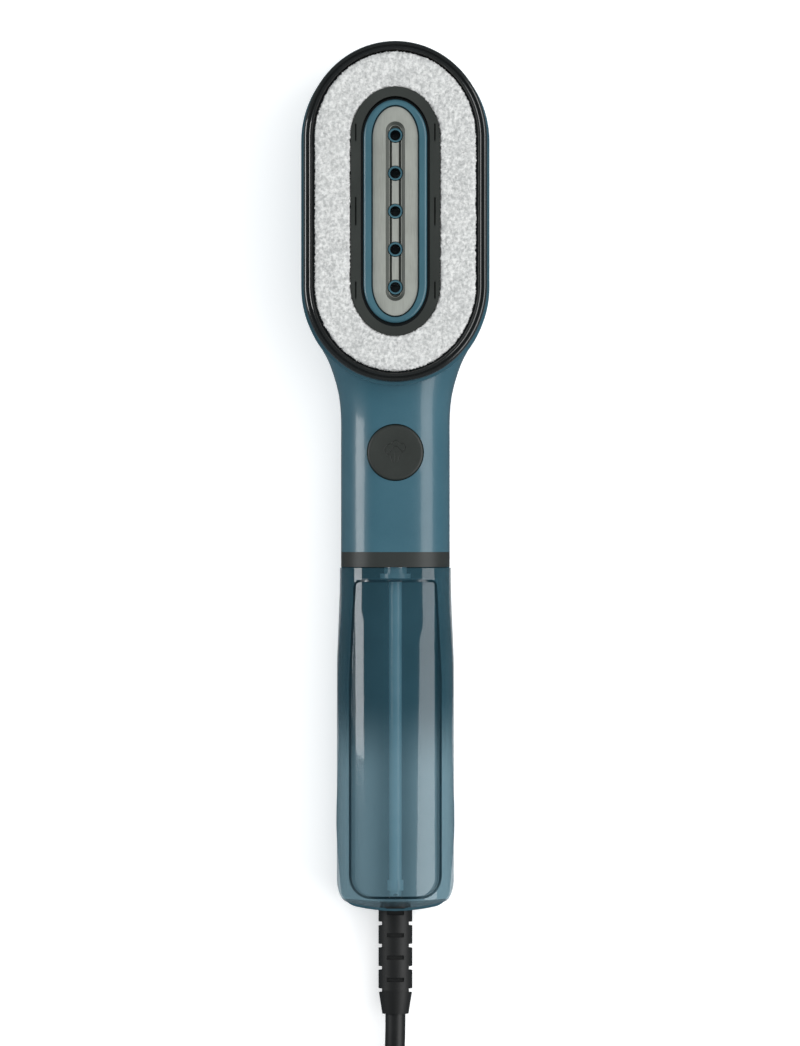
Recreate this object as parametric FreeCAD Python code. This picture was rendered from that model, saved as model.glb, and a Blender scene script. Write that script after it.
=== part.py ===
import FreeCAD, Part

import math
import os

# Handheld garment steamer, lying on its back with the steam face up.  Millimetres.
# X runs across, +Y runs up the handle to the head, +Z comes out of the steam face.
# The origin is under the middle of the steamer, on the surface it rests on.

# Overall sizes
overall_length = 300.0  # crown of the head to the end of the spine
neck_half_width = 18.85
neck_depth = 38.5  # back of the neck to its front
tank_swell = 1.3  # how much wider each side of the handle is at the tank
tank_swell_depth = 1.9
head_depth = 48.0  # back of the head to the front edge of its shell
parting_height = 16.0  # where the rear and front mouldings meet
shell_wall = 2.0
fit_gap = 0.05  # parts that are pressed or screwed together
slide_gap = 0.3  # parts that move past each other

# Head: an outline with straight sides and elliptical ends
head_straight = 25.0  # half the length of the straight sides
rim_half_width = 31.45
rim_half_length = 58.4
shell_overhang = 0.85  # the shell shows this much around the rim
crown_inset = 0.6  # and stays this far inside the rim at the crown
head_back_fillet = 14.0
head_centre = overall_length / 2 - rim_half_length

# Flare from the neck into the head, an arc seen from the front and one seen from the side
flare_start = 20.5
flare_radius = 50.0
brow_start = 14.0
brow_radius = 62.0
flare_end = 46.0

# Far end of the handle
end_radius = 62.0
end_fillet = 7.0
end_ball_height = 20.0
tank_end_step = 1.2  # the tank stops this much short of the spine

# Collar and tank
collar_top = -25.0
collar_length = 5.2
tank_gap = 0.3
tank_wall = 2.0
tub_wall = 1.2
tub_top_half_width = 13.3
tub_half_width = 15.0
tub_top = -35.3
tub_taper_end = -69.0
tub_corner_radius = 7.0
tub_bottom = -144.3
tub_bottom_sag = 1.6
port_height = 27.5
port_radius = 4.0
port_bore = 2.2
port_reach = 10.0  # how far the port stands out of the tank
suction_radius = 2.3
suction_bore = 1.5
rail_half_width = 3.0
rail_height = 2.0
plug_head_radius = 5.25
plug_head_length = 2.0
plug_stem_radius = 4.4
plug_gap = 0.2

# Button and switch
button_centre = 9.3
button_hole_radius = 9.85
button_radius = 9.6
button_face_radius = 8.75
button_proud = 0.7
button_flange_radius = 10.8
board_height = 21.0
board_thickness = 1.6

# Pump
pump_height = 12.0
pump_start = 2.0
pump_length = 29.0
pump_tube_radius = 3.0
pump_bore = 2.2
coil_radius = 7.2
coil_length = 20.0
hose_radius = 2.6
nipple_radius = 1.8
nipple_bore = 1.0
nipple_length = 3.4

# Heater
heater_back = 32.0
heater_block_depth = 10.0
heater_cover_depth = 2.0
heater_half_width = 21.0
heater_half_length = 46.0
chamber_wall = 5.0
heater_screw_x = 18.5
heater_screw_y = 22.0

# Steam face
rim_height = 8.0  # how far the rim stands in front of the shell
rim_width = 3.25
panel_thickness = 2.0
panel_lift = 1.5  # panel above the edge of the shell
ring_half_width = 10.85
ring_half_length = 38.2
ring_width = 2.65
plate_half_width = 7.75
plate_half_length = 35.8
plate_depth = 3.0
channel_half_width = 3.3
channel_half_length = 30.7
channel_depth = 1.6
nozzle_pitch = 13.0
nozzle_count = 5
nozzle_radius = 2.4
nozzle_bore = 1.8
nozzle_hole_radius = 2.65
pad_half_width = 27.5
pad_half_length = 54.6
pad_inner_half_width = 15.4
pad_inner_half_length = 42.7
pad_frame_inner_half_width = 11.8
pad_frame_inner_half_length = 39.4
pad_frame_thickness = 1.6
pad_thickness = 3.8

# Cord
cord_radius = 3.5
cord_height = 8.2  # centre of the cord where it leaves the spine
boot_radius = 5.9
boot_length = 37.7
boot_seat = -148.3
coil_centre_x = 13.8
coil_centre_y = -265.9
coil_turn_radius = 41.0  # centre of the outermost turn
coil_turns = 1.76  # turns in each layer
coil_layers = 4
turn_pitch = 7.2

half_length = overall_length / 2
sphere_centre = -half_length + end_radius
tank_top = collar_top - collar_length - tank_gap
tank_back = parting_height + slide_gap


def at(x, y, z):
    return FreeCAD.Vector(x, y, z)


def about(middle, half):
    """The span that reaches half to either side of the middle."""
    return (middle - half, middle + half)


def block(x_span, y_span, z_span):
    size = [span[1] - span[0] for span in (x_span, y_span, z_span)]
    return Part.makeBox(size[0], size[1], size[2], at(x_span[0], y_span[0], z_span[0]))


def rod(radius, start, end):
    return Part.makeCylinder(radius, start.distanceToPoint(end), start, end - start)


def sleeve(radius, bore, start, end):
    return rod(radius, start, end).cut(rod(bore, start, end))


def oval_wire(half_width, half_long, height, middle=head_centre):
    """Straight sides joined by half ellipses, the outline that every ring of the head has."""
    rise = half_long - head_straight
    edges = []
    for sign in (1, -1):
        centre = at(0, middle + sign * head_straight, height)
        far = centre + at(0, sign * rise, 0)
        aside = centre + at(-sign * half_width, 0, 0)
        ellipse = Part.Ellipse(far, aside, centre)
        edges.append(Part.Arc(ellipse, -math.pi / 2, math.pi / 2).toShape())
        side = sign * head_straight
        edge_x = -sign * half_width
        edges.append(Part.makeLine(at(edge_x, middle + side, height), at(edge_x, middle - side, height)))
    return Part.Wire(Part.__sortEdges__(edges))


def oval_slab(half_width, half_long, bottom, top, middle=head_centre):
    face = Part.Face(oval_wire(half_width, half_long, bottom, middle))
    return face.extrude(at(0, 0, top - bottom))


def oval_ring(outer, inner, bottom, top):
    """A ring between two ovals, each given as its half width and half length."""
    return oval_slab(outer[0], outer[1], bottom, top).cut(oval_slab(inner[0], inner[1], bottom, top))


def smooth(y, start, end):
    """Eases from 0 at start to 1 at end."""
    share = min(1.0, max(0.0, (y - start) / (end - start)))
    return share * share * (3 - 2 * share)


def arc_rise(y, start, radius):
    """How far an arc that leaves the straight at start has risen at y."""
    run = max(0.0, y - start)
    return radius - math.sqrt(radius * radius - run * run)


def handle_half_width(y):
    swell = tank_swell * smooth(y, -38.0, -69.0)
    return neck_half_width + swell + arc_rise(y, flare_start, flare_radius)


def handle_front(y):
    swell = tank_swell_depth * smooth(y, -38.0, -69.0)
    return neck_depth + swell + arc_rise(y, brow_start, brow_radius)


def handle_section(y, inset):
    """A rounded section of the handle, its back a little below the flat that is cut later."""
    half_width = handle_half_width(y) - inset
    back = inset - 0.5
    front = handle_front(y) - inset
    middle = (back + front) / 2
    half_depth = (front - back) / 2
    squareness = 2.6
    count = 24
    points = []
    for index in range(count):
        angle = 2 * math.pi * index / count - math.pi / 2
        across = math.copysign(abs(math.cos(angle)) ** (2 / squareness), math.cos(angle))
        up = math.copysign(abs(math.sin(angle)) ** (2 / squareness), math.sin(angle))
        points.append(at(half_width * across, y, middle + half_depth * up))
    curve = Part.BSplineCurve()
    steps = [float(index) for index in range(count + 1)]
    curve.interpolate(Points=points, PeriodicFlag=True, Parameters=steps)
    return Part.Wire([curve.toShape()])


def handle_body(inset, end_step=0.0):
    """The handle as one solid, with its domed and rounded far end."""
    stations = [-156.0, -130.0, -100.0, -72.0, -62.0, -52.0, -42.0, -32.0, -15.0, 2.0, 12.0, 20.0]
    stations += [26.0, 32.0, 38.0, 43.0, flare_end]
    solid = Part.makeLoft([handle_section(y, inset) for y in stations], True, False, False, 3)
    ball = Part.makeSphere(end_radius - inset, at(0, sphere_centre + end_step, end_ball_height))
    end_zone = block((-60, 60), (-170, -120), (-40, 90))
    solid = solid.cut(end_zone.cut(ball))
    rim = [edge for edge in solid.Edges if edge.BoundBox.YMax < -135 and edge.BoundBox.XLength > 20]
    solid = solid.makeFillet(end_fillet - inset, rim)
    return solid.cut(block((-60, 60), (-170, 90), (-40, inset)))


def head_body(inset, top):
    """The head as one solid, rounded at its back edge."""
    width = rim_half_width + shell_overhang - inset
    top_y = half_length - crown_inset - inset
    bottom_y = head_centre - rim_half_length - shell_overhang + inset
    middle = (top_y + bottom_y) / 2
    solid = oval_slab(width, (top_y - bottom_y) / 2, inset, top, middle)
    back = [edge for edge in solid.Edges if edge.BoundBox.ZMax < inset + 0.01]
    return solid.makeFillet(head_back_fillet - inset, back)


def save(name, shape):
    """Writes one sub-part, and says what is in it."""
    solids = shape.Solids
    shape = solids[0] if len(solids) == 1 else Part.makeCompound(solids)
    shape.exportStep("parts/" + name + ".step")
    box = shape.BoundBox
    spans = [box.XMin, box.XMax, box.YMin, box.YMax, box.ZMin, box.ZMax]
    state = "valid" if shape.isValid() else "BROKEN"
    print(name, len(solids), state, round(shape.Volume, 1), [round(value, 2) for value in spans])
    return shape


def rounded_path(points, radius=None):
    """Straight runs through the points, joined by tangent arcs."""
    edges = []
    radii = []
    start = points[0]
    for before, corner, after in zip(points, points[1:], points[2:]):
        back = (before - corner).normalize()
        ahead = (after - corner).normalize()
        half_turn = (math.pi - back.getAngle(ahead)) / 2
        shorter = min(before.distanceToPoint(corner), after.distanceToPoint(corner))
        bend = radius or 0.45 * shorter / math.tan(half_turn)
        reach = bend * math.tan(half_turn)
        middle = corner + (back + ahead).normalize() * (bend / math.cos(half_turn) - bend)
        edges.append(Part.LineSegment(start, corner + back * reach).toShape())
        edges.append(Part.Arc(corner + back * reach, middle, corner + ahead * reach).toShape())
        start = corner + ahead * reach
        radii.append(bend)
    edges.append(Part.LineSegment(start, points[-1]).toShape())
    return Part.Wire(edges), radii


def tube(points, radius, bend=None, bore=None):
    """A round tube along the points."""
    path, radii = rounded_path(points, bend)
    direction = points[1] - points[0]
    circle = Part.Wire([Part.makeCircle(radius, points[0], direction)])
    solid = path.makePipeShell([circle], True, True, 2)
    if bore:
        hole = Part.Wire([Part.makeCircle(bore, points[0], direction)])
        solid = solid.cut(path.makePipeShell([hole], True, True, 2))
    return solid, path, radii


def spring(radius, wire, pitch, length, start, axis):
    """A compression spring from start along axis, its wire drawn with six flats."""
    helix = Part.makeHelix(pitch, length - 3 * wire, radius)
    corners = []
    for index in range(7):
        angle = math.pi * index / 3
        corners.append(at(radius + wire * math.cos(angle), 0, wire * math.sin(angle)))
    coil = Part.Wire(helix.Edges).makePipeShell([Part.makePolygon(corners)], True, True, 2)
    turn = FreeCAD.Rotation(at(0, 0, 1), axis)
    coil.Placement = FreeCAD.Placement(start + axis * (1.5 * wire), turn)
    return coil.copy()


os.makedirs("parts", exist_ok=True)

head_top = head_depth + 20
outer = handle_body(0).fuse(head_body(0, head_depth))
inner = handle_body(shell_wall).fuse(head_body(shell_wall, head_top))
skin = outer.cut(inner)
everywhere = 200.0
front_half = block((-60, 60), (collar_top, everywhere), (parting_height, 90))
rear_half = block((-60, 60), (-everywhere, everywhere), (-1, parting_height))

# Shells, held by screws from the back
screw_spots = [at(sign * 27.0, head_centre + step, 0) for sign in (-1, 1) for step in (-20.0, 20.0)]
screw_spots += [at(sign * 13.6, -17.0, 0) for sign in (-1, 1)]
boss_radius = 3.5
screw_radius = 1.45
screw_head_radius = 2.7
screw_seat = 7.0
screw_top = 25.0
boss_top = 28.0


def rear_shell():
    shape = skin.common(rear_half)
    for spot in screw_spots:
        boss = rod(boss_radius, spot, spot + at(0, 0, parting_height)).common(outer)
        shape = shape.fuse(boss)
    for spot in screw_spots:
        shape = shape.cut(rod(screw_radius + fit_gap, spot, spot + at(0, 0, parting_height)))
        recess = rod(screw_head_radius + slide_gap, spot - at(0, 0, 1), spot + at(0, 0, screw_seat))
        shape = shape.cut(recess)
    seat = at(0, boot_seat, cord_height)
    shape = shape.cut(rod(boot_radius + slide_gap, seat, seat - at(0, 10, 0)))
    shape = shape.cut(rod(boot_neck_radius + fit_gap, seat - at(0, 5, 0), seat + at(0, 5, 0)))
    pocket = seat + at(0, boot_wall, 0)
    shape = shape.cut(rod(boot_flange_radius + fit_gap, pocket, pocket + at(0, 5, 0)))
    for x in clamp_post_x:
        post = rod(2.4, at(x, clamp_y, shell_wall - 0.5), at(x, clamp_y, clamp_bottom))
        shape = shape.fuse(post).cut(rod(1.0, at(x, clamp_y, shell_wall), at(x, clamp_y, clamp_bottom)))
    return shape


def front_shell():
    shape = skin.common(front_half)
    for spot in screw_spots:
        boss = rod(boss_radius, spot + at(0, 0, parting_height), spot + at(0, 0, boss_top)).common(outer)
        shape = shape.fuse(boss)
    for spot in screw_spots:
        shape = shape.cut(rod(screw_radius + fit_gap, spot, spot + at(0, 0, boss_top - 1)))
    button_axis = at(0, button_centre, 25)
    return shape.cut(rod(button_hole_radius, button_axis, button_axis + at(0, 0, 30)))


def shell_screws():
    screws = []
    for spot in screw_spots:
        head = rod(screw_head_radius, spot + at(0, 0, screw_seat - 2), spot + at(0, 0, screw_seat))
        head = head.cut(block(about(spot.x, 1.8), about(spot.y, 0.35), (0, screw_seat - 1)))
        shank = rod(screw_radius, spot + at(0, 0, screw_seat), spot + at(0, 0, screw_top))
        screws.append(head.fuse(shank))
    return Part.makeCompound(screws)


# Spine: a trough under the tank that carries the cord, with a lid that the tank slides on
clamp_y = -137.0
clamp_half_width = 9.0
clamp_half_length = 3.0
clamp_bottom = 5.0
clamp_top = 12.8
clamp_post_x = (-6.5, 6.5)
lid_thickness = 2.2
boot_neck_radius = 4.6
boot_flange_radius = 5.6
boot_flange_length = 1.6
boot_wall = 1.7  # thickness of the wall that the boot grips
boot_rings = 4
boot_ring_start = 6.3
boot_ring_pitch = 7.75
boot_notch = 1.5
boot_notch_depth = 1.2
lead_end = -131.0
lead_tip = -half_length  # the boot is moulded on to the cord from here
terminal_y = (-118.0, -104.0)
terminal_height = (4.0, 12.0)
wire_radius = 1.1
wire_x = 7.0
rail_top_y = -34.0
rail_end_y = -144.0
handle_inner = handle_body(shell_wall + fit_gap)


def spine_cover():
    lid_span = (-147.5, tank_top + tank_gap)
    zone = block((-60, 60), lid_span, (parting_height - lid_thickness, parting_height))
    rail_span = (rail_end_y, rail_top_y)
    rail = block(about(0, rail_half_width), rail_span, (parting_height - 1, parting_height + rail_height))
    return handle_inner.common(zone).fuse(rail)


def strain_relief():
    seat = at(0, boot_seat, cord_height)
    straight = 0.78 * boot_length
    shape = rod(boot_radius, seat, seat - at(0, straight, 0))
    cone_start = seat - at(0, straight, 0)
    tip = Part.makeCone(boot_radius, boot_radius - 1.3, boot_length - straight, cone_start, at(0, -1, 0))
    shape = shape.fuse(tip)
    wall_inside = boot_seat + boot_wall
    shape = shape.fuse(rod(boot_neck_radius, seat, at(0, wall_inside, cord_height)))
    flange_start = at(0, wall_inside, cord_height)
    shape = shape.fuse(rod(boot_flange_radius, flange_start, flange_start + at(0, boot_flange_length, 0)))
    shape = shape.cut(rod(cord_radius, at(0, lead_tip, cord_height), seat + at(0, 20, 0)))
    for ring in range(boot_rings):
        notch = boot_seat - boot_ring_start - ring * boot_ring_pitch
        for sign in (-1, 1):
            side = sorted((sign * boot_radius, sign * (boot_radius - boot_notch_depth)))
            shape = shape.cut(block(side, about(notch, boot_notch / 2), (-5, 25)))
        window = notch + boot_ring_pitch / 2
        for face in (cord_height - boot_radius, cord_height + boot_radius - boot_notch_depth):
            depth = (face, face + boot_notch_depth)
            shape = shape.cut(block((-3, 3), about(window, boot_notch / 2), depth))
    return shape


def inner_lead():
    return rod(cord_radius, at(0, lead_end, cord_height), at(0, lead_tip, cord_height))


def cord_clamp():
    shape = block(about(0, clamp_half_width), about(clamp_y, clamp_half_length), (clamp_bottom, clamp_top))
    shape = shape.cut(rod(cord_radius, at(0, clamp_y - 5, cord_height), at(0, clamp_y + 5, cord_height)))
    channel = block((-cord_radius, cord_radius), (clamp_y - 5, clamp_y + 5), (0, cord_height))
    shape = shape.cut(channel)
    for x in clamp_post_x:
        shape = shape.cut(rod(1.0, at(x, clamp_y, 0), at(x, clamp_y, 20)))
    return shape


def clamp_screws():
    screws = []
    for x in clamp_post_x:
        screw = rod(1.0, at(x, clamp_y, shell_wall + 0.2), at(x, clamp_y, clamp_top))
        screws.append(screw.fuse(rod(1.9, at(x, clamp_y, clamp_top), at(x, clamp_y, clamp_top + 0.9))))
    return Part.makeCompound(screws)


def terminal_block():
    shape = block((-10, 10), terminal_y, terminal_height)
    for x in (-wire_x, wire_x):
        shape = shape.cut(rod(wire_radius, at(x, terminal_y[0] - 1, 8), at(x, terminal_y[1] + 1, 8)))
        shape = shape.cut(rod(1.6, at(x, sum(terminal_y) / 2, 9.5), at(x, sum(terminal_y) / 2, 13)))
    return shape.cut(block((-1, 1), (terminal_y[0] - 1, terminal_y[1] + 1), (9, 13)))


def lead_wires():
    """Two cores from the end of the jacket through the terminals and up to the switch board."""
    wires = []
    for sign in (-1, 1):
        board_end = at(sign * wire_x, 0, board_height)
        turn = at(sign * wire_x, 0, 8)
        first = at(sign * wire_x, -123, 8)
        core = at(sign * 1.6, lead_end, cord_height)
        bend = at(sign * 1.6, -128, cord_height)
        wires.append(tube([core, bend, first, turn, board_end], wire_radius, 1.5)[0])
    return Part.makeCompound(wires)


# Collar and water socket at the lower end of the neck
collar_floor = 2.0
socket_radius = 7.0
socket_bore = 5.5
socket_floor = 2.0
socket_seal_depth = 1.0
socket_end = collar_top + port_reach + 1.0


def along(y, height=port_height):
    return at(0, y, height)


def tank_collar():
    zone = block((-60, 60), (collar_top - collar_length, collar_top), (parting_height, 90))
    hollow = block((-60, 60), (collar_top - collar_length - 1, collar_top - collar_floor), (0, 90))
    shape = outer.common(zone).cut(inner.common(hollow))
    return shape.cut(rod(socket_radius + fit_gap, along(-40), along(0)))


def tank_socket():
    shape = rod(socket_radius, along(collar_top - collar_floor), along(socket_end + socket_floor))
    nipple_end = socket_end + socket_floor + nipple_length
    shape = shape.fuse(rod(nipple_radius, along(socket_end), along(nipple_end)))
    shape = shape.cut(rod(socket_bore, along(collar_top - collar_floor), along(socket_end)))
    return shape.cut(rod(nipple_bore, along(-40), along(20)))


def socket_seal():
    return sleeve(socket_bore - fit_gap, port_bore, along(socket_end - socket_seal_depth), along(socket_end))


# Tank: an outer skin and an inner tub that holds the water
def tub_outline(grow):
    """Outline of the water chamber seen from the front: tapered sides, round corners, a sagging floor."""
    top_width = tub_top_half_width + grow
    width = tub_half_width + grow
    corner = tub_corner_radius + grow
    top = tub_top + grow
    floor = tub_bottom - grow
    side_end = floor + tub_bottom_sag + corner
    centre_x = width - corner
    lean = math.radians(75.0)
    mid = lean / 2
    foot = at(centre_x + corner * math.cos(lean), side_end - corner * math.sin(lean), 0)
    half = at(centre_x + corner * math.cos(mid), side_end - corner * math.sin(mid), 0)
    right = [
        Part.makeLine(at(top_width, top, 0), at(width, tub_taper_end, 0)),
        Part.makeLine(at(width, tub_taper_end, 0), at(width, side_end, 0)),
        Part.Arc(at(width, side_end, 0), half, foot).toShape(),
    ]
    left = [edge.mirror(at(0, 0, 0), at(1, 0, 0)) for edge in right]
    ends = [
        Part.makeLine(at(-top_width, top, 0), at(top_width, top, 0)),
        Part.Arc(foot, at(0, floor, 0), at(-foot.x, foot.y, 0)).toShape(),
    ]
    return Part.Wire(Part.__sortEdges__(right + left + ends))


def tub_prism(grow, bottom, top):
    prism = Part.Face(tub_outline(grow)).extrude(at(0, 0, top - bottom))
    prism.translate(at(0, 0, bottom))
    return prism


tank_outer = handle_body(0, tank_end_step)
tank_inner = handle_body(tank_wall, tank_end_step)
port_flange_radius = 5.4


def tank_front():
    zone = block((-60, 60), (-170, tank_top), (tank_back, 90))
    hollow = block((-60, 60), (-170, tank_top - tank_wall), (0, 90))
    shape = tank_outer.common(zone).cut(tank_inner.common(hollow))
    groove = rail_half_width + slide_gap
    shape = shape.cut(block((-groove, groove), (-140, 0), (0, parting_height + rail_height + slide_gap)))
    shape = shape.cut(rod(port_radius + fit_gap, along(tank_top + 1), along(tank_top - tank_wall - 1)))
    return shape.cut(rod(plug_head_radius + plug_gap, along(-160), along(tub_bottom - tub_wall)))


def tank_tub():
    shape = tank_inner.common(tub_prism(tub_wall, tank_back, 90))
    back = tank_back + tank_wall
    shape = shape.cut(tub_prism(0, back, 90))
    ridge = rail_half_width + slide_gap + tub_wall
    groove_top = parting_height + rail_height + slide_gap
    chamber = tub_prism(0, back - 0.5, groove_top + tub_wall)
    shape = shape.fuse(chamber.common(block((-ridge, ridge), (-170, 0), (0, 90))))
    groove = rail_half_width + slide_gap
    shape = shape.cut(block((-groove, groove), (-170, 0), (0, groove_top)))
    shape = shape.cut(rod(port_radius + fit_gap, along(tank_top), along(tub_top - 1)))
    return shape.cut(rod(plug_stem_radius + fit_gap, along(-160), along(tub_bottom + 1.5)))


def tank_port():
    tip = collar_top + port_reach - 2.0
    shape = rod(port_radius, along(tub_top), along(tip))
    flange_gap = tank_top - tank_wall
    shape = shape.fuse(rod(port_flange_radius, along(tub_top + tub_wall), along(flange_gap)))
    groove = sleeve(port_radius + 1, port_radius - 0.8, along(tip - 4.0), along(tip - 2.2))
    return shape.cut(groove).cut(rod(port_bore, along(-40), along(0)))


def port_seal():
    tip = collar_top + port_reach - 2.0
    ring = sleeve(socket_bore - 0.25, port_radius - 0.8, along(tip - 4.0), along(tip - 2.2))
    rims = [edge for edge in ring.Edges if edge.BoundBox.XLength > 2 * port_radius]
    return ring.makeFillet(0.7, rims)


def suction_tube():
    stub = rod(port_bore, along(tub_top - 1), along(tub_top + 4))
    body = rod(suction_radius, along(tub_bottom + 3.0), along(tub_top))
    return body.fuse(stub).cut(rod(suction_bore, along(-160), along(0)))


def suction_foot():
    """A slotted sleeve round the end of the tube, ending in a fork."""
    top = tub_bottom + 5.9
    shoulder = tub_bottom + 2.2
    shape = rod(suction_radius + 0.65, along(shoulder), along(top))
    shape = shape.fuse(rod(suction_radius - 0.2, along(tub_bottom + 0.4), along(shoulder)))
    shape = shape.cut(rod(suction_radius, along(tub_bottom + 3.0), along(top + 1)))
    slot = block((-1.0, 1.0), (shoulder + 0.8, top + 1), (port_height - 5, port_height + 5))
    notch = rod(0.9, at(0, tub_bottom + 0.3, port_height - 5), at(0, tub_bottom + 0.3, port_height + 5))
    return shape.cut(slot).cut(notch).cut(rod(0.8, along(tub_bottom), along(top)))


def filler_plug():
    head_inside = tub_bottom - tub_wall - 0.3
    head = rod(plug_head_radius, along(head_inside - plug_head_length), along(head_inside))
    stem = rod(plug_stem_radius, along(head_inside), along(tub_bottom - 0.1))
    grip = block((-3.2, 3.2), (head_inside - plug_head_length - 0.6, head_inside), about(port_height, 0.8))
    return head.fuse(stem).fuse(grip)


# Button over the switch
stem_radius = 2.0
flange_thickness = 1.2
switch_half_width = 3.0
switch_height = 5.0
plunger_radius = 1.4
plunger_rise = 2.4
spring_wire = 0.4
spring_pitch = 2.2
flange_top = 33.6
flange_bottom = flange_top - flange_thickness
switch_base = board_height + board_thickness
plunger_top = switch_base + switch_height + plunger_rise
button_top = neck_depth + button_proud
spring_radius = button_face_radius + 0.5


def steam_button():
    foot = at(0, button_centre, flange_bottom)
    cap = rod(button_radius, foot, at(0, button_centre, button_top))
    edge = [e for e in cap.Edges if e.BoundBox.ZMin > button_top - 0.01]
    cap = cap.makeChamfer(button_radius - button_face_radius, edge)
    shape = cap.fuse(rod(button_flange_radius, foot, foot + at(0, 0, flange_thickness)))
    hollow_radius = button_face_radius - 1.2
    shape = shape.cut(rod(hollow_radius, foot, at(0, button_centre, button_top - 2.0)))
    stem_foot = at(0, button_centre, plunger_top + 0.1)
    return shape.fuse(rod(stem_radius, stem_foot, at(0, button_centre, button_top - 1.5)))


def button_spring():
    start = at(0, button_centre, switch_base)
    free_length = flange_bottom - switch_base
    return spring(spring_radius, spring_wire, spring_pitch, free_length, start, at(0, 0, 1))


def switch_board():
    shape = block((-10, 10), (button_centre - 10.8, button_centre + 13.2), (board_height, switch_base))
    hole = at(0, button_centre + 11.0, 0)
    return shape.cut(rod(1.0, hole, hole + at(0, 0, 40)))


def micro_switch():
    half = switch_half_width
    y_span = (button_centre - half, button_centre + half)
    shape = block((-half, half), y_span, (switch_base, switch_base + switch_height))
    well = at(0, button_centre, switch_base + 0.6)
    return shape.cut(rod(plunger_radius + 0.1, well, well + at(0, 0, 10)))


def switch_plunger():
    foot = at(0, button_centre, plunger_top - plunger_rise - 1.9)
    return rod(plunger_radius, foot, at(0, button_centre, plunger_top))


# Pump: a coil on a tube with a plunger that shuttles inside
coil_start = pump_start + 4.0
plunger_start = coil_start + 4.0
plunger_length = 10.0


def on_pump(y):
    return at(0, y, pump_height)


def pump_tube():
    end = pump_start + pump_length
    shape = rod(pump_tube_radius, on_pump(pump_start), on_pump(end))
    for foot, direction in ((pump_start, -1), (end, 1)):
        shape = shape.fuse(rod(nipple_radius, on_pump(foot), on_pump(foot + direction * nipple_length)))
    shape = shape.cut(rod(nipple_bore, on_pump(pump_start - 10), on_pump(end + 10)))
    return shape.cut(rod(pump_bore, on_pump(pump_start + 1.5), on_pump(end - 1.5)))


def pump_plunger():
    start = on_pump(plunger_start)
    return sleeve(pump_bore - 0.15, 0.6, start, start + at(0, plunger_length, 0))


def pump_spring():
    start = plunger_start + plunger_length
    room = pump_start + pump_length - 1.5 - start
    return spring(pump_bore - 0.6, 0.25, 1.6, room, on_pump(start), at(0, 1, 0))


def pump_coil():
    start = on_pump(coil_start)
    end = on_pump(coil_start + coil_length)
    shape = sleeve(coil_radius, pump_tube_radius + fit_gap, start, end)
    waist = sleeve(coil_radius + 1, coil_radius - 0.6, start + at(0, 1.5, 0), end - at(0, 1.5, 0))
    return shape.cut(waist)


def pump_frame():
    """A steel yoke: a base with an upright at each end of the coil."""
    half = 8.0
    thick = 1.2
    bottom = pump_height - coil_radius - thick
    top = pump_height + coil_radius + 0.4
    span = (coil_start - thick, coil_start + coil_length + thick)
    shape = block((-half, half), span, (bottom, bottom + thick))
    for y in (span[0], span[1] - thick):
        shape = shape.fuse(block((-half, half), (y, y + thick), (bottom, top)))
    return shape.cut(rod(pump_tube_radius + fit_gap, on_pump(-20), on_pump(60)))


def pump_mounts():
    bottom = pump_height - coil_radius - 1.2
    feet = []
    for y in (coil_start + 1, coil_start + coil_length - 5):
        feet.append(block((-4, 4), (y, y + 4), (shell_wall, bottom)))
    return Part.makeCompound(feet)


def feed_hose():
    """Silicone hose from the socket down to the pump."""
    start = along(socket_end + socket_floor + 0.2)
    knee = along(socket_end + socket_floor + nipple_length + 3.5)
    finish = on_pump(pump_start - 0.2)
    points = [start, knee, at(0, knee.y, pump_height), finish]
    return tube(points, hose_radius, 3.0, nipple_radius)[0]


def steam_hose():
    """Silicone hose from the pump up into the heater."""
    start = on_pump(pump_start + pump_length + 0.2)
    points = [start, at(0, inlet_y, pump_height), at(0, inlet_y, heater_back - inlet_length + 0.0)]
    return tube(points, hose_radius, 8.0, nipple_radius)[0]


# Heater behind the steam face
inlet_y = head_centre - 31.6
inlet_length = 6.0
inlet_radius = 3.0
corners = [(sx, sy) for sx in (-1, 1) for sy in (-1, 1)]
heater_screw_spots = [(sx * heater_screw_x, head_centre + sy * heater_screw_y) for sx, sy in corners]
heater_mid = heater_back + heater_block_depth
heater_front = heater_mid + heater_cover_depth
panel_bottom = head_depth + panel_lift
panel_top = panel_bottom + panel_thickness
gasket_thickness = panel_bottom - heater_front - 3.5
ring_base = heater_front + gasket_thickness
element_radius = 2.0
element_x = 11.0
element_reach = 18.0
element_height = heater_back - 0.5
first_nozzle = head_centre - nozzle_pitch * (nozzle_count - 1) / 2
nozzle_spots = [first_nozzle + nozzle_pitch * index for index in range(nozzle_count)]


def element_points():
    top = head_centre + element_reach
    bottom = head_centre - element_reach
    spots = ((-element_x, top), (-element_x, bottom), (element_x, bottom), (element_x, top))
    return [at(x, y, element_height) for x, y in spots]


def heating_element():
    shape = tube(element_points(), element_radius, 8.0)[0]
    for x in (-element_x, element_x):
        end = at(x, head_centre + element_reach, element_height)
        shape = shape.fuse(rod(0.9, end, end + at(0, 7, 0)))
    return shape


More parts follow.
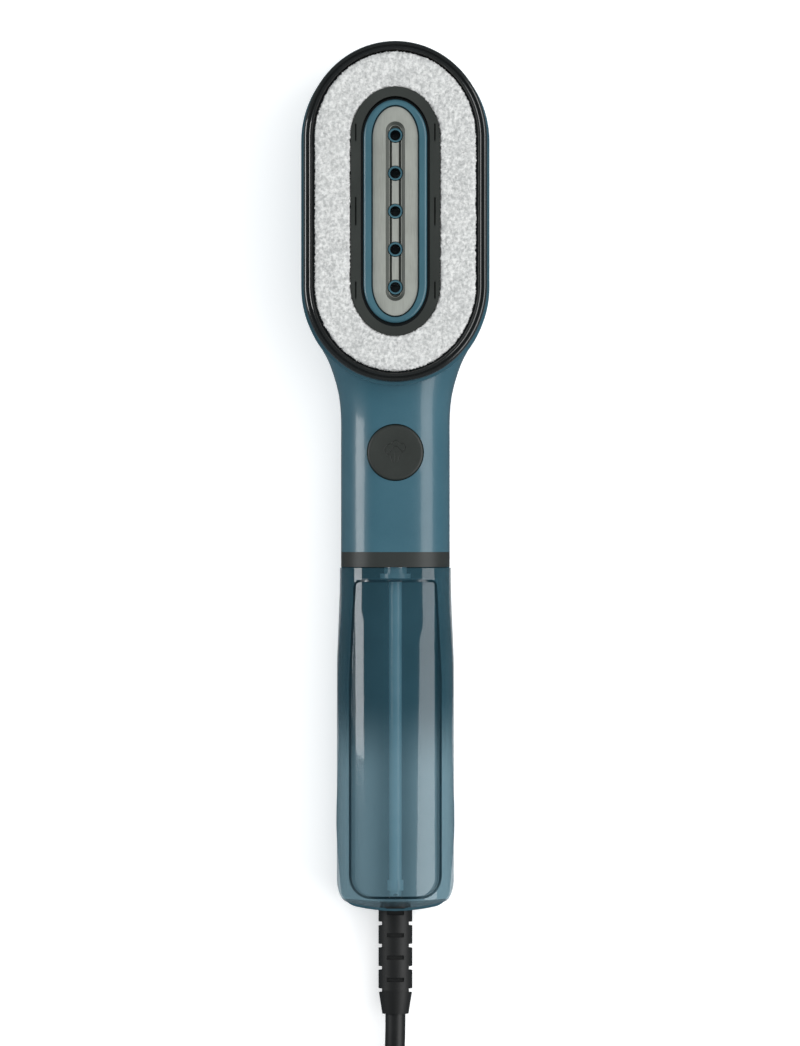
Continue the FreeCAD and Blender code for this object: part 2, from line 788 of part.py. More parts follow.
def heater_block():
    shape = oval_slab(heater_half_width, heater_half_length, heater_back, heater_mid)
    cup = (heater_half_width - chamber_wall, heater_half_length - chamber_wall)
    shape = shape.cut(oval_slab(cup[0], cup[1], heater_back + 5, heater_mid + 1))
    for index in range(4):
        y = head_centre - 24 + index * 16
        side = (-cup[0] - 1, 9) if index % 2 else (-9, cup[0] + 1)
        shape = shape.fuse(block(side, (y - 0.8, y + 0.8), (heater_back + 4, heater_mid)))
    for x, y in heater_screw_spots:
        shape = shape.cut(rod(1.5, at(x, y, heater_back - 1), at(x, y, heater_mid + 1)))
    groove = tube(element_points(), element_radius, 8.0)[0]
    shape = shape.cut(groove)
    element_end = head_centre + element_reach
    ends = block((-15, 15), (element_end, element_end + 9), (0, heater_back + 2))
    shape = shape.cut(ends)
    return shape.cut(rod(inlet_radius, at(0, inlet_y, heater_back - 1), at(0, inlet_y, heater_back + 6)))


def heater_cover():
    shape = oval_slab(heater_half_width, heater_half_length, heater_mid, heater_front)
    for x, y in heater_screw_spots:
        shape = shape.cut(rod(1.5, at(x, y, 0), at(x, y, 60)))
    for y in nozzle_spots:
        shape = shape.cut(rod(nozzle_bore, at(0, y, 0), at(0, y, 60)))
    return shape


def heater_screws():
    screws = []
    for x, y in heater_screw_spots:
        screw = rod(1.45, at(x, y, heater_back), at(x, y, panel_bottom - 0.5))
        screws.append(screw.fuse(rod(2.4, at(x, y, heater_back - 2), at(x, y, heater_back))))
    return Part.makeCompound(screws)


def steam_inlet():
    nipple = at(0, inlet_y, heater_back - inlet_length)
    shape = rod(nipple_radius, nipple, at(0, inlet_y, heater_back))
    shape = shape.fuse(rod(4.0, at(0, inlet_y, heater_back - 1.5), at(0, inlet_y, heater_back)))
    shape = shape.fuse(rod(inlet_radius, at(0, inlet_y, heater_back), at(0, inlet_y, heater_back + 5)))
    return shape.cut(rod(nipple_bore, nipple - at(0, 0, 1), at(0, inlet_y, 60)))


def thermostat():
    spot = at(0, head_centre + 6, heater_back)
    shape = rod(7.0, spot - at(0, 0, 4), spot)
    shape = shape.fuse(rod(5.0, spot - at(0, 0, 8), spot - at(0, 0, 4)))
    for x in (-3, 3):
        tab = block((x - 1.4, x + 1.4), (spot.y - 0.4, spot.y + 0.4), (heater_back - 13, heater_back - 8))
        shape = shape.fuse(tab)
    return shape


def thermal_fuse():
    spot = at(0, head_centre - 8, heater_back - 2.2)
    shape = rod(2.0, spot - at(6, 0, 0), spot + at(6, 0, 0))
    pad = block((-5, 5), (spot.y - 2.5, spot.y + 2.5), (heater_back - 1.4, heater_back))
    wires = rod(0.5, spot - at(8.4, 0, 0), spot + at(8.4, 0, 0))
    return shape.fuse(pad).fuse(wires)


# Steam face
def plate_gasket():
    return oval_ring((ring_half_width, ring_half_length), (7.0, 35.2), heater_front, ring_base)


def nozzle_ring():
    top = head_depth + rim_height + 1.2
    plate_seat = head_depth + rim_height + 0.5 - plate_depth
    outline = (ring_half_width, ring_half_length)
    bore = (ring_half_width - ring_width, ring_half_length - ring_width + 0.75)
    shape = oval_slab(outline[0], outline[1], ring_base, top)
    crown = [edge for edge in shape.Edges if edge.BoundBox.ZMin > top - 0.01]
    shape = shape.makeFillet(1.0, crown)
    shape = shape.cut(oval_slab(bore[0], bore[1], plate_seat, top + 1))
    ledge = (plate_half_width - 1.0, plate_half_length - 1.0)
    return shape.cut(oval_slab(ledge[0], ledge[1], ring_base - 1, plate_seat + 1))


def steam_plate():
    top = head_depth + rim_height + 0.5
    shape = oval_slab(plate_half_width, plate_half_length, top - plate_depth, top)
    shape = shape.cut(oval_slab(channel_half_width, channel_half_length, top - channel_depth, top + 1))
    for y in nozzle_spots:
        shape = shape.cut(rod(nozzle_hole_radius, at(0, y, 0), at(0, y, 70)))
    return shape


def steam_nozzles():
    top = head_depth + rim_height + 0.5 - channel_depth + 0.6
    nozzles = []
    for y in nozzle_spots:
        nozzles.append(sleeve(nozzle_radius, nozzle_bore, at(0, y, heater_front), at(0, y, top)))
    return Part.makeCompound(nozzles)


peg_spots = [(sx * 22.0, head_centre + sy * 30.0) for sx, sy in corners]
peg_radius = 1.2


def head_rim():
    outer_oval = (rim_half_width, rim_half_length)
    opening = (rim_half_width - rim_width, rim_half_length - rim_width)
    top = head_depth + rim_height
    shape = oval_slab(outer_oval[0], outer_oval[1], head_depth, top)
    crown = [edge for edge in shape.Edges if edge.BoundBox.ZMin > top - 0.01]
    shape = shape.makeFillet(1.2, crown)
    shape = shape.cut(oval_slab(opening[0], opening[1], panel_top, top + 1))
    lip_gap = shell_wall + 0.2
    lip = (rim_half_width + shell_overhang - lip_gap, rim_half_length - crown_inset - lip_gap)
    lip_bottom = head_depth - 3
    shape = shape.fuse(oval_slab(lip[0], lip[1], lip_bottom, head_depth))
    under = (lip[0] - 1.8, lip[1] - 1.8)
    shape = shape.cut(oval_slab(under[0], under[1], lip_bottom - 1, panel_bottom))
    shape = shape.cut(oval_slab(ring_half_width + 0.2, ring_half_length + 0.2, 0, top + 1))
    groove = (rim_half_width - 1.4, rim_half_length - 1.4)
    shape = shape.cut(oval_ring(groove, (groove[0] - 0.4, groove[1] - 0.4), top - 0.8, top + 1))
    for x, y in heater_screw_spots:
        shape = shape.fuse(rod(3.0, at(x, y, heater_front), at(x, y, panel_bottom + 0.5)))
        shape = shape.cut(rod(1.5, at(x, y, heater_front), at(x, y, panel_bottom)))
    for x, y in peg_spots:
        peg_hole = rod(peg_radius + slide_gap, at(x, y, panel_bottom - 1), at(x, y, panel_top + 1))
        shape = shape.cut(peg_hole)
    return shape


# Fabric pad on its frame, which lifts off the face for washing
pad_frame_bottom = panel_top + 0.3
pad_frame_top = pad_frame_bottom + pad_frame_thickness


def pad_frame():
    outline = (pad_half_width + 0.1, pad_half_length + 0.1)
    bore = (pad_frame_inner_half_width, pad_frame_inner_half_length)
    shape = oval_ring(outline, bore, pad_frame_bottom, pad_frame_top)
    wall = (pad_inner_half_width - 0.14, pad_inner_half_length - 0.1)
    shape = shape.fuse(oval_ring(wall, bore, pad_frame_bottom, pad_frame_top + 3.0))
    slot_x = (wall[0] + bore[0]) / 2
    for length, step in ((9.6, 0.0), (5.9, -27.0), (5.9, 27.0)):
        for sign in (-1, 1):
            middle = head_centre + step
            slot_zone = (pad_frame_top + 0.6, pad_frame_top + 4)
            shape = shape.cut(block(about(sign * slot_x, 0.25), about(middle, length / 2), slot_zone))
    for x, y in peg_spots:
        peg = rod(peg_radius, at(x, y, panel_bottom + 0.3), at(x, y, pad_frame_bottom + 0.5))
        shape = shape.fuse(peg)
    return shape


def pad_cloth():
    outline = (pad_half_width, pad_half_length)
    bore = (pad_inner_half_width, pad_inner_half_length)
    return oval_ring(outline, bore, pad_frame_top, pad_frame_top + pad_thickness)


# Cord: out of the boot, down to the surface, into a coil of stacked layers, and on to the plug on top
coil_height = 2 * cord_radius + (coil_layers - 1) * turn_pitch
top_layer = coil_height - cord_radius
plug_centre_y = -300.5
plug_half_width = 12.0
plug_height = 13.4
plug_base = coil_height + 0.1
plug_axis = plug_base + plug_height / 2
plug_start = 17.9
plug_length = 28.0
plug_corner = 7.0
plug_edge = 1.6
blade_length = 16.5
blade_root = 6.0  # how far a blade reaches into the plug
blade_thickness = 1.5
blade_width = 6.3
blade_hole_radius = 1.5
blade_pitch = 12.7


def cord_coil():
    """Outer shape of the stacked turns."""
    inside = coil_turn_radius - coil_turns * turn_pitch - cord_radius
    outside = coil_turn_radius + cord_radius + 0.5
    middle = at(coil_centre_x, coil_centre_y, 0)
    ring = sleeve(outside, inside, middle, middle + at(0, 0, coil_height))
    flat = [edge for edge in ring.Edges if edge.BoundBox.ZLength < 0.1]
    rims = [edge for edge in flat if edge.BoundBox.XLength > 2 * outside - 1]
    return ring.makeFillet(cord_radius - 0.1, rims)


cord_route = [
    at(0, boot_seat - boot_length, cord_height),
    at(0, -200.0, 8.2),
    at(-1.6, -214.0, 5.4),
    at(-7.6, -227.5, 3.8),
    at(-16.7, -238.5, 3.55),
]
tail_route = [
    at(-21.7, -245.4, top_layer),
    at(-27.2, -258.6, 26.0),
    at(-27.2, -273.1, 29.2),
    at(-21.5, -286.4, 32.8),
    at(-10.9, -296.1, 35.0),
    at(2.9, plug_centre_y, plug_axis),
    at(plug_start, plug_centre_y, plug_axis),
]


def report_tube(name, solid, path, radii):
    share = solid.Volume / (math.pi * cord_radius ** 2 * path.Length)
    bends = [round(radius, 1) for radius in radii]
    print(name, "length", round(path.Length, 1), "radii", bends, "volume share", round(share, 4))


def power_cord():
    solid, path, radii = tube(cord_route, cord_radius)
    report_tube("power_cord", solid, path, radii)
    return solid.cut(coil_shape)


def cord_tail():
    solid, path, radii = tube(tail_route, cord_radius)
    report_tube("cord_tail", solid, path, radii)
    return solid.cut(coil_shape)


def blade_blocks(end):
    """Two flat blades that reach from inside the plug to end."""
    blocks = []
    half_width = blade_width / 2
    for side in (-1, 1):
        y = plug_centre_y + side * blade_pitch / 2
        along_x = (plug_start + plug_length - blade_root, end)
        blocks.append(block(along_x, about(y, blade_thickness / 2), about(plug_axis, half_width)))
    return blocks


def plug_body():
    z_span = (plug_base, plug_base + plug_height)
    shape = block((plug_start, plug_start + plug_length), about(plug_centre_y, plug_half_width), z_span)
    upright = [edge for edge in shape.Edges if edge.BoundBox.ZLength > plug_height - 0.1]
    upright = [edge for edge in upright if edge.BoundBox.XMin < plug_start + 1]
    shape = shape.makeFillet(plug_corner, upright)
    flat = [edge for edge in shape.Edges if edge.BoundBox.ZLength < 0.01]
    shape = shape.makeFillet(plug_edge, flat)
    for blade in blade_blocks(plug_start + plug_length + 1):
        shape = shape.cut(blade)
    return shape


def plug_blades():
    end = plug_start + plug_length + blade_length
    y_span = at(0, plug_half_width, 0)
    hole_centre = at(end - 4.0, plug_centre_y, plug_axis)
    hole = rod(blade_hole_radius, hole_centre - y_span, hole_centre + y_span)
    return Part.makeCompound([blade.cut(hole) for blade in blade_blocks(end)])


coil_shape = cord_coil()

for build in (
    rear_shell, front_shell, shell_screws, spine_cover, strain_relief, inner_lead, cord_clamp, clamp_screws,
    terminal_block, lead_wires, tank_collar, tank_socket, socket_seal, tank_front, tank_tub, tank_port, port_seal,
    suction_tube, suction_foot, filler_plug, steam_button, button_spring, switch_board, micro_switch,
    switch_plunger, pump_tube, pump_plunger, pump_spring, pump_coil, pump_frame, pump_mounts, feed_hose,
    steam_hose, heating_element, heater_block, heater_cover, heater_screws, steam_inlet, thermostat,
    thermal_fuse, plate_gasket, nozzle_ring, steam_plate, steam_nozzles, head_rim, pad_frame, pad_cloth,
    cord_coil, power_cord, cord_tail, plug_body, plug_blades,
):
    save(build.__name__, build())
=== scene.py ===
# %% [markdown]
# A handheld garment steamer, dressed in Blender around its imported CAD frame.  The steamer lies on its
# back with the steam face up.  X runs across, Y runs up the handle to the head, and Z comes out of the
# steam face.  Every length is in metres.  The CAD holds the sizes and everything that moves.  This script
# makes what the eye rests on: the rim and its panel, the plate with its channel, the pile of the pad, the
# engraved button, the clear skin of the tank and the cord.  It also dresses every piece of the CAD.

# %% Load the frame
import math

import bmesh
import bpy
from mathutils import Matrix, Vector


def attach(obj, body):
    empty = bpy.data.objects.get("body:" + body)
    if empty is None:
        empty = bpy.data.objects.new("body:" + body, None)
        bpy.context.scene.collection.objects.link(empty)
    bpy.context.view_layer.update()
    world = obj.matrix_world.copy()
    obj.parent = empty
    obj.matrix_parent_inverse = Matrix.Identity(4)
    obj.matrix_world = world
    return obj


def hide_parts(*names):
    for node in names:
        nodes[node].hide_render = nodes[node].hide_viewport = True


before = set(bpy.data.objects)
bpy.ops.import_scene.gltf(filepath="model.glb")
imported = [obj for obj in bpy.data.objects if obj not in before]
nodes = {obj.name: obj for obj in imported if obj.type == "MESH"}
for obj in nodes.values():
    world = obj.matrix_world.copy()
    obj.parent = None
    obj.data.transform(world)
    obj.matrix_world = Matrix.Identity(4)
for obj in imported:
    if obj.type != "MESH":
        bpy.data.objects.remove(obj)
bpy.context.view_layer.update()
MM = 0.001

# %% [markdown]
# The camera looks straight down on the steamer, because a plan of its front is wanted.  It stands far off
# with a long lens, so that the tall head isn't drawn much larger than the low handle.

# %% Camera
CAMERA_HEIGHT = 2.4
SEEN_LENGTH = 0.3603  # how much of the steamer's length the view takes in
SENSOR = 36.0
MIDDLE_HEIGHT = 0.038  # where that length is measured

bpy.ops.object.camera_add(location=(0.0016, -0.015, MIDDLE_HEIGHT + CAMERA_HEIGHT), rotation=(0, 0, 0))
camera = bpy.context.object
camera.name = "camera"
camera.data.sensor_width = SENSOR
camera.data.lens = SENSOR * CAMERA_HEIGHT / SEEN_LENGTH
camera.data.clip_end = 20
bpy.context.scene.camera = camera
print("lens", round(camera.data.lens, 1))

# %% [markdown]
# The floor is a plain pale sheet.  Glossy plastic would mirror it all along its edges, so glossy rays
# pass it by and meet the grey surroundings instead, as they would over a light table.

# %% Floor, surroundings and lights
bpy.ops.mesh.primitive_plane_add(size=12, location=(0, 0, 0))
floor = bpy.context.object
floor.name = "floor"
floor.visible_glossy = False
paper = bpy.data.materials.new("paper")
paper.use_nodes = True
paper_shader = paper.node_tree.nodes["Principled BSDF"]
paper_shader.inputs["Base Color"].default_value = (0.92, 0.92, 0.92, 1)
paper_shader.inputs["Roughness"].default_value = 0.9
paper_shader.inputs["Emission Color"].default_value = (1, 1, 1, 1)
paper_shader.inputs["Emission Strength"].default_value = 0.36
floor.data.materials.append(paper)

world = bpy.data.worlds.new("studio")
bpy.context.scene.world = world
world.use_nodes = True
world.node_tree.nodes["Background"].inputs["Color"].default_value = (0.10, 0.125, 0.14, 1)
world.node_tree.nodes["Background"].inputs["Strength"].default_value = 1.0
bpy.context.scene.view_settings.view_transform = "Standard"


def softbox(name, place, aim, wide, high, power):
    """A rectangular light at place that faces aim: wide is level, and high is the way it leans."""
    bpy.ops.object.light_add(type="AREA", location=place)
    light = bpy.context.object
    light.name = name
    light.data.shape = "RECTANGLE"
    light.data.size = wide
    light.data.size_y = high
    light.data.energy = power
    light.rotation_euler = (Vector(aim) - Vector(place)).to_track_quat("-Z", "Y").to_euler()
    return light


# The sky lights everything softly, and is kept out of the gloss so that flat faces stay dark.
sky = softbox("sky", (0.3, 0.1, 2.0), (0, 0, 0), 2.2, 2.2, 30)
sky.visible_glossy = False
softbox("left_box", (-0.78, 0.10, 0.34), (0, 0.10, 0.03), 0.42, 0.42, 3.5)
softbox("right_box", (0.85, -0.05, 0.62), (0, -0.05, 0.03), 1.50, 0.66, 9.8)

# %% [markdown]
# The cord is one flexible lead.  It leaves the boot, drops on to the surface, winds up into a coil of
# stacked layers, each spiralling in or out on top of the last, and runs on to the plug that lies on the
# coil.  A NURBS curve through a few given points bends as a lead does, and the turns come from a
# loop.

# %% The cord's route
CORD_RADIUS = 0.0035
COIL_MIDDLE = (0.0138, -0.2659)
COIL_RADIUS = 0.041
TURN_PITCH = 0.0072
LAYERS = 4
TURNS = 1.7583  # turns in each layer
POINTS_A_TURN = 16
START_ANGLE = 138
lead_points = [
    (0.0, -0.186, 0.0082),
    (0.0, -0.200, 0.0082),
    (-0.0016, -0.214, 0.0054),
    (-0.0076, -0.2275, 0.0038),
]
tail_points = [
    (-0.0272, -0.2586, 0.0260),
    (-0.0272, -0.2731, 0.0292),
    (-0.0215, -0.2864, 0.0328),
    (-0.0109, -0.2961, 0.0350),
    (0.0029, -0.3005, 0.0354),
    (0.0179, -0.3005, 0.0354),
]


def coil_points():
    """Points round the layers of turns, starting where the lead arrives."""
    points = []
    for step in range(round(LAYERS * TURNS * POINTS_A_TURN) + 1):
        turned = step / POINTS_A_TURN
        layer = min(LAYERS - 1, int(turned / TURNS))
        along = turned - layer * TURNS
        inward = along if layer % 2 == 0 else TURNS - along
        radius = COIL_RADIUS - inward * TURN_PITCH
        climbs = [min(1.0, max(0.0, (turned - edge * TURNS) * 2 + 0.5)) for edge in range(1, LAYERS)]
        height = CORD_RADIUS + 0.0001 + sum(climbs) * TURN_PITCH * 0.99
        angle = math.radians(START_ANGLE) + 2 * math.pi * turned
        across = COIL_MIDDLE[0] + radius * math.cos(angle)
        upward = COIL_MIDDLE[1] + radius * math.sin(angle)
        points.append((across, upward, height))
    return points


route = lead_points + coil_points() + tail_points
cord_data = bpy.data.curves.new("cord", "CURVE")
cord_data.dimensions = "3D"
spline = cord_data.splines.new("NURBS")
spline.points.add(len(route) - 1)
for point, place in zip(spline.points, route):
    point.co = (*place, 1)
    point.radius = CORD_RADIUS
spline.order_u = 3
spline.use_endpoint_u = True
spline.resolution_u = 6
cord_data.bevel_depth = 1.0  # times the radius of each point
cord_data.bevel_resolution = 5
cord_data.use_fill_caps = True
cord = bpy.data.objects.new("cord", cord_data)
bpy.context.collection.objects.link(cord)
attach(cord, "housing")
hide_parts("power_cord", "cord_coil", "cord_tail")

# %% [markdown]
# Real plastic, rubber and steel are never one flat colour.  Each material here is built from the piece's
# own coordinates, so its grain stays the same size on every piece.  A small class lets the sums behind
# the grain be written as sums, instead of as a page of node links.

# %% A class for writing shader nodes as sums


class Wire:
    """One output of a shader node.  Sums that use it become Math nodes."""

    def __init__(self, tree, socket):
        self.tree = tree
        self.socket = socket

    def node(self, kind, settings=None, inputs=None, out=0):
        """Adds a node of any kind beside this one, with its settings first and then its sockets."""
        made = self.tree.nodes.new(kind)
        for key, value in (settings or {}).items():
            setattr(made, key, value)
        for key, value in (inputs or {}).items():
            if isinstance(value, Wire):
                self.tree.links.new(value.socket, made.inputs[key])
            else:
                made.inputs[key].default_value = value
        return Wire(self.tree, made.outputs[out])

    def sum(self, operation, first, second=0.0):
        return self.node("ShaderNodeMath", {"operation": operation}, {0: first, 1: second})

    def __add__(self, other):
        return self.sum("ADD", self, other)

    def __radd__(self, other):
        return self.sum("ADD", other, self)

    def __sub__(self, other):
        return self.sum("SUBTRACT", self, other)

    def __mul__(self, other):
        return self.sum("MULTIPLY", self, other)

    def __rmul__(self, other):
        return self.sum("MULTIPLY", other, self)

    def __neg__(self):
        return self.sum("MULTIPLY", self, -1.0)

    def __abs__(self):
        return self.sum("ABSOLUTE", self)

    def noise(self, size, detail=3.0, roughness=0.55):
        """Cloudy grain from 0 to 1, whose lumps are about size metres."""
        inputs = {"Vector": self, "Scale": 1.0 / size, "Detail": detail, "Roughness": roughness}
        return self.node("ShaderNodeTexNoise", {"noise_dimensions": "3D"}, inputs)

    def ramp(self, start, end):
        """0 up to start, 1 from end on, and smooth between them."""
        settings = {"interpolation_type": "SMOOTHSTEP", "clamp": True}
        inputs = {"Value": self, "From Min": start, "From Max": end}
        return self.node("ShaderNodeMapRange", settings, inputs)

    def tint(self, dark, light):
        """A colour between two, by this value from 0 to 1."""
        settings = {"data_type": "RGBA", "clamp_factor": True}
        return self.node("ShaderNodeMix", settings, {0: self, 6: dark, 7: light}, out=2)

    def axis(self, name):
        """One of the three coordinates of a place: X, Y or Z."""
        apart = self.node("ShaderNodeSeparateXYZ", None, {0: self})
        return Wire(self.tree, apart.socket.node.outputs[name])

    def bump(self, height, depth):
        """The surface's direction when it is pressed by this height, depth metres deep."""
        return self.node("ShaderNodeBump", None, {"Strength": 1.0, "Distance": depth, "Height": height})


print("made", Wire.__name__, "for sums of shader values")

# %% [markdown]
# Colours are chosen on a screen, from 0 to 255, but light adds up differently from the way a screen
# counts it, so each is turned into linear light first.  Every material starts from the same few steps,
# kept in one function.

# %% Colours and new materials


def colour(red, green, blue):
    """A colour as it shows on a screen, from 0 to 255, as the linear light that shaders use."""
    shares = (red / 255, green / 255, blue / 255)
    linear = [v / 12.92 if v <= 0.04045 else ((v + 0.055) / 1.055) ** 2.4 for v in shares]
    return (*linear, 1.0)


def new_material(name, constants):
    """A material whose shader has these constants, with that shader and the piece's own coordinates."""
    material = bpy.data.materials.new(name)
    material.use_nodes = True
    shader = material.node_tree.nodes["Principled BSDF"]
    for key, value in constants.items():
        shader.inputs[key].default_value = value
    coordinates = material.node_tree.nodes.new("ShaderNodeTexCoord")
    return material, shader, Wire(material.node_tree, coordinates.outputs["Object"])


def join(shader, key, wire):
    wire.tree.links.new(wire.socket, shader.inputs[key])


print("mid grey in linear light", round(colour(128, 128, 128)[0], 3))

# %% [markdown]
# Most of the steamer is moulded plastic or rubber, and what is cast or wound can share its pattern:
# clouds of two near colours, a fine even grain that is also the bump, and a gloss that is a little worn
# in patches.  The shell and rim carry a clear coat, which gives sharp reflections over a softer body.

# %% Moulded and cast finishes


def moulded(name, dark, light, roughness, grain, depth, constants=None, mottle=0.02):
    """A moulded or cast surface: a faint mottle, an even grain, and a finish rubbed here and there."""
    material, shader, place = new_material(name, constants or {})
    cloud = place.noise(mottle, 4.0)
    fine = place.noise(grain, 2.0)
    join(shader, "Base Color", (cloud * 0.8 + fine * 0.2).ramp(0.3, 0.7).tint(dark, light))
    join(shader, "Roughness", roughness + (place.noise(mottle * 0.6, 5.0) - 0.5) * 0.12 + (fine - 0.5) * 0.04)
    join(shader, "Normal", place.bump(fine, depth))
    return material


SHELL = {"Coat Weight": 0.42, "Coat Roughness": 0.12}
GLOSS = {"Coat Weight": 1.0, "Coat Roughness": 0.03}
SATIN = {"Coat Weight": 0.4, "Coat Roughness": 0.25}

shell_blue = moulded("shell_blue", colour(48, 87, 101), colour(54, 93, 107), 0.38, 0.0006, 0.000004, SHELL)
gloss_black = moulded("gloss_black", colour(22, 22, 21), colour(30, 30, 29), 0.18, 0.0005, 0.000002, GLOSS)
collar_grey = moulded("collar_grey", colour(36, 39, 37), colour(43, 46, 44), 0.5, 0.0006, 0.000003)
matte_dark = moulded("matte_dark", colour(38, 41, 38), colour(46, 49, 46), 0.5, 0.0005, 0.000006)
ring_blue = moulded("ring_blue", colour(50, 88, 100), colour(58, 96, 108), 0.36, 0.0005, 0.000003, SATIN)
rubber = moulded("rubber", colour(15, 15, 15), colour(23, 23, 22), 0.55, 0.0005, 0.00001)
jacket = moulded("cord_jacket", colour(18, 18, 18), colour(26, 26, 26), 0.48, 0.0007, 0.00001)
cast_alloy = moulded(
    "cast_alloy", colour(150, 152, 154), colour(178, 180, 180), 0.45, 0.0008, 0.00002, {"Metallic": 0.9}
)
copper = moulded("copper", colour(150, 84, 50), colour(190, 116, 76), 0.32, 0.0004, 0.000004, {"Metallic": 1.0})
silicone = moulded("silicone", colour(190, 192, 186), colour(212, 212, 205), 0.5, 0.0006, 0.000006)
board_green = moulded("board_green", colour(24, 82, 46), colour(34, 104, 60), 0.4, 0.0005, 0.00001, SATIN)
white_plastic = moulded("white_plastic", colour(206, 206, 200), colour(222, 222, 216), 0.4, 0.0006, 0.000004)
wire_red = moulded("wire_red", colour(150, 26, 24), colour(176, 38, 34), 0.45, 0.0006, 0.000005)
pad_white = moulded(
    "pad_white", colour(172, 173, 172), colour(224, 224, 222), 0.85, 0.0009, 0.0003, {"Sheen Weight": 0.4}, 0.0011
)
print("moulded finishes from", shell_blue.name, "to", pad_white.name)

# %% [markdown]
# Brushed steel shows fine lines in the direction it was rubbed.  Noise does this when its coordinates are
# squeezed along that direction, which draws every speck out into a line.  The channel's slopes and slots
# are painted darker as painted shade, so its colour also depends on the height.

# %% Steel


def steel(name, dark, light, roughness, brushed_along, metallic=1.0, painted_shade=None, lit_height=0.0):
    """Steel rubbed in one direction, which draws out its grain.  Off one lit height it may take a painted shade
    colour.
    """
    material, shader, place = new_material(name, {"Metallic": metallic})
    stretch = [1.0, 1.0, 1.0]
    stretch[brushed_along] = 0.04
    drawn = place.node("ShaderNodeVectorMath", {"operation": "MULTIPLY"}, {0: place, 1: stretch})
    lines = drawn.noise(0.00025, 3.0)
    cloud = place.noise(0.012, 4.0)
    body = (lines * 0.5 + cloud * 0.5).ramp(0.3, 0.7).tint(dark, light)
    # Painted shade: every face away from the lit height takes the darker colour.
    if painted_shade:
        body = abs(place.axis("Z") - lit_height).ramp(0.00003, 0.00015).tint(body, painted_shade)
    join(shader, "Base Color", body)
    join(shader, "Roughness", roughness + (lines - 0.5) * 0.2 + (cloud - 0.5) * 0.1)
    join(shader, "Normal", place.bump(lines, 0.00001))
    return material


plate_steel = steel("plate_steel", colour(146, 148, 141), colour(166, 168, 161), 0.55, 1, 0.3)
# The channel's slopes and slots get painted shade; only the strip at the lit height keeps the steel's colour.
channel_steel = steel(
    "channel_steel", colour(150, 152, 145), colour(170, 172, 165), 0.55, 1, 0.3, colour(74, 77, 72), 0.0553
)
plain_steel = steel("plain_steel", colour(150, 152, 152), colour(182, 184, 184), 0.35, 2, 0.9)
print("steels", plate_steel.name, channel_steel.name, plain_steel.name)

# %% [markdown]
# The tank is smoke-blue clear plastic, and its inner parts show through it.  Letting part of the light
# straight through by the alpha is quick to draw and stays free of grain, where true refraction would be
# slow.

# %% Clear plastic


def clear_plastic(name, thin, thick, roughness, opacity, painted_sheen=None):
    """Tinted plastic that shows what lies behind it, by its alpha.  It may carry a painted sheen towards its
    lower end.
    """
    material, shader, place = new_material(name, {"Coat Weight": 1.0, "Coat Roughness": 0.02, "IOR": 1.5})
    cloud = place.noise(0.03, 4.0)
    haze = place.noise(0.004, 3.0)
    body = cloud.ramp(0.3, 0.7).tint(thin, thick)
    # Painted sheen: a lighter colour towards the lower end, stronger at the sides, standing in for reflected
    # light.
    if painted_sheen:
        downward = -place.axis("Y")
        across = abs(place.axis("X"))
        painted_sheen_mask = downward.ramp(0.074, 0.104) * (0.45 + 0.55 * across.ramp(0.002, 0.011))
        body = painted_sheen_mask.tint(body, painted_sheen)
    join(shader, "Base Color", body)
    join(shader, "Roughness", roughness + (haze - 0.5) * 0.08)
    join(shader, "Alpha", opacity + (cloud - 0.5) * 0.06)
    join(shader, "Normal", place.bump(haze, 0.000004))
    return material


# The last colour is painted sheen, which lightens the skin's lower end and sides.
tank_skin = clear_plastic(
    "tank_skin", colour(38, 72, 84), colour(48, 84, 97), 0.12, 0.55, colour(122, 154, 166)
)
tank_inner = clear_plastic("tank_inner", colour(36, 74, 90), colour(46, 88, 104), 0.2, 0.6)
clear_blue = clear_plastic("clear_blue", colour(132, 188, 210), colour(152, 204, 224), 0.2, 0.85)

print("clear plastics", tank_skin.name, tank_inner.name, clear_blue.name)

# %% [markdown]
# Every piece that comes from the CAD is dressed too, the hidden ones as well, because the steamer can be
# opened.

# %% Dressing the CAD's pieces
paint = {
    shell_blue: "rear_shell front_shell spine_cover",
    gloss_black: "head_rim",
    collar_grey: "tank_collar",
    matte_dark: "pad_frame cord_clamp terminal_block micro_switch tank_socket steam_button",
    tank_skin: "tank_front",
    tank_inner: "tank_tub",
    clear_blue: "tank_port suction_tube suction_foot",
    ring_blue: "nozzle_ring steam_nozzles",
    plate_steel: "steam_plate",
    plain_steel: "shell_screws clamp_screws heater_screws pump_frame pump_tube pump_plunger pump_spring "
    "button_spring thermostat heating_element thermal_fuse plug_blades",
    pad_white: "pad_cloth",
    cast_alloy: "heater_block heater_cover steam_inlet",
    rubber: "strain_relief filler_plug plug_body port_seal pump_mounts",
    jacket: "inner_lead",
    silicone: "socket_seal feed_hose steam_hose plate_gasket",
    copper: "pump_coil",
    board_green: "switch_board",
    white_plastic: "switch_plunger",
    wire_red: "lead_wires",
}


def dress(thing, material):
    thing.data.materials.clear()
    thing.data.materials.append(material)


for material, names in paint.items():
    for name in names.split():
        dress(nodes[name], material)
dress(cord, jacket)
bare = [name for name, node in nodes.items() if not node.data.materials]
print("nodes without a material:", bare)

# %% [markdown]
# Modelling by hand in Blender is a small set of moves: put a primitive in place, go into edit mode, pick
# some faces, then inset, extrude or move them.  These helpers are those moves.  Pieces are picked by
# where they are.

# %% Helpers for modelling
HEAD_Y = 0.0916  # middle of the head's ovals
STRAIGHT = 0.025  # half the length of their straight sides
LYING = (math.pi / 2, 0, 0)  # turns an upright cylinder to lie along the handle


def only(thing):
    """Leaves this piece selected and active, and nothing else."""
    bpy.ops.object.select_all(action="DESELECT")
    thing.select_set(True)
    bpy.context.view_layer.objects.active = thing


def edit(thing, kind="FACE"):
    only(thing)
    bpy.ops.object.mode_set(mode="EDIT")
    bpy.ops.mesh.select_mode(type=kind)
    bpy.ops.mesh.select_all(action="SELECT")


def leave():
    bpy.ops.object.mode_set(mode="OBJECT")


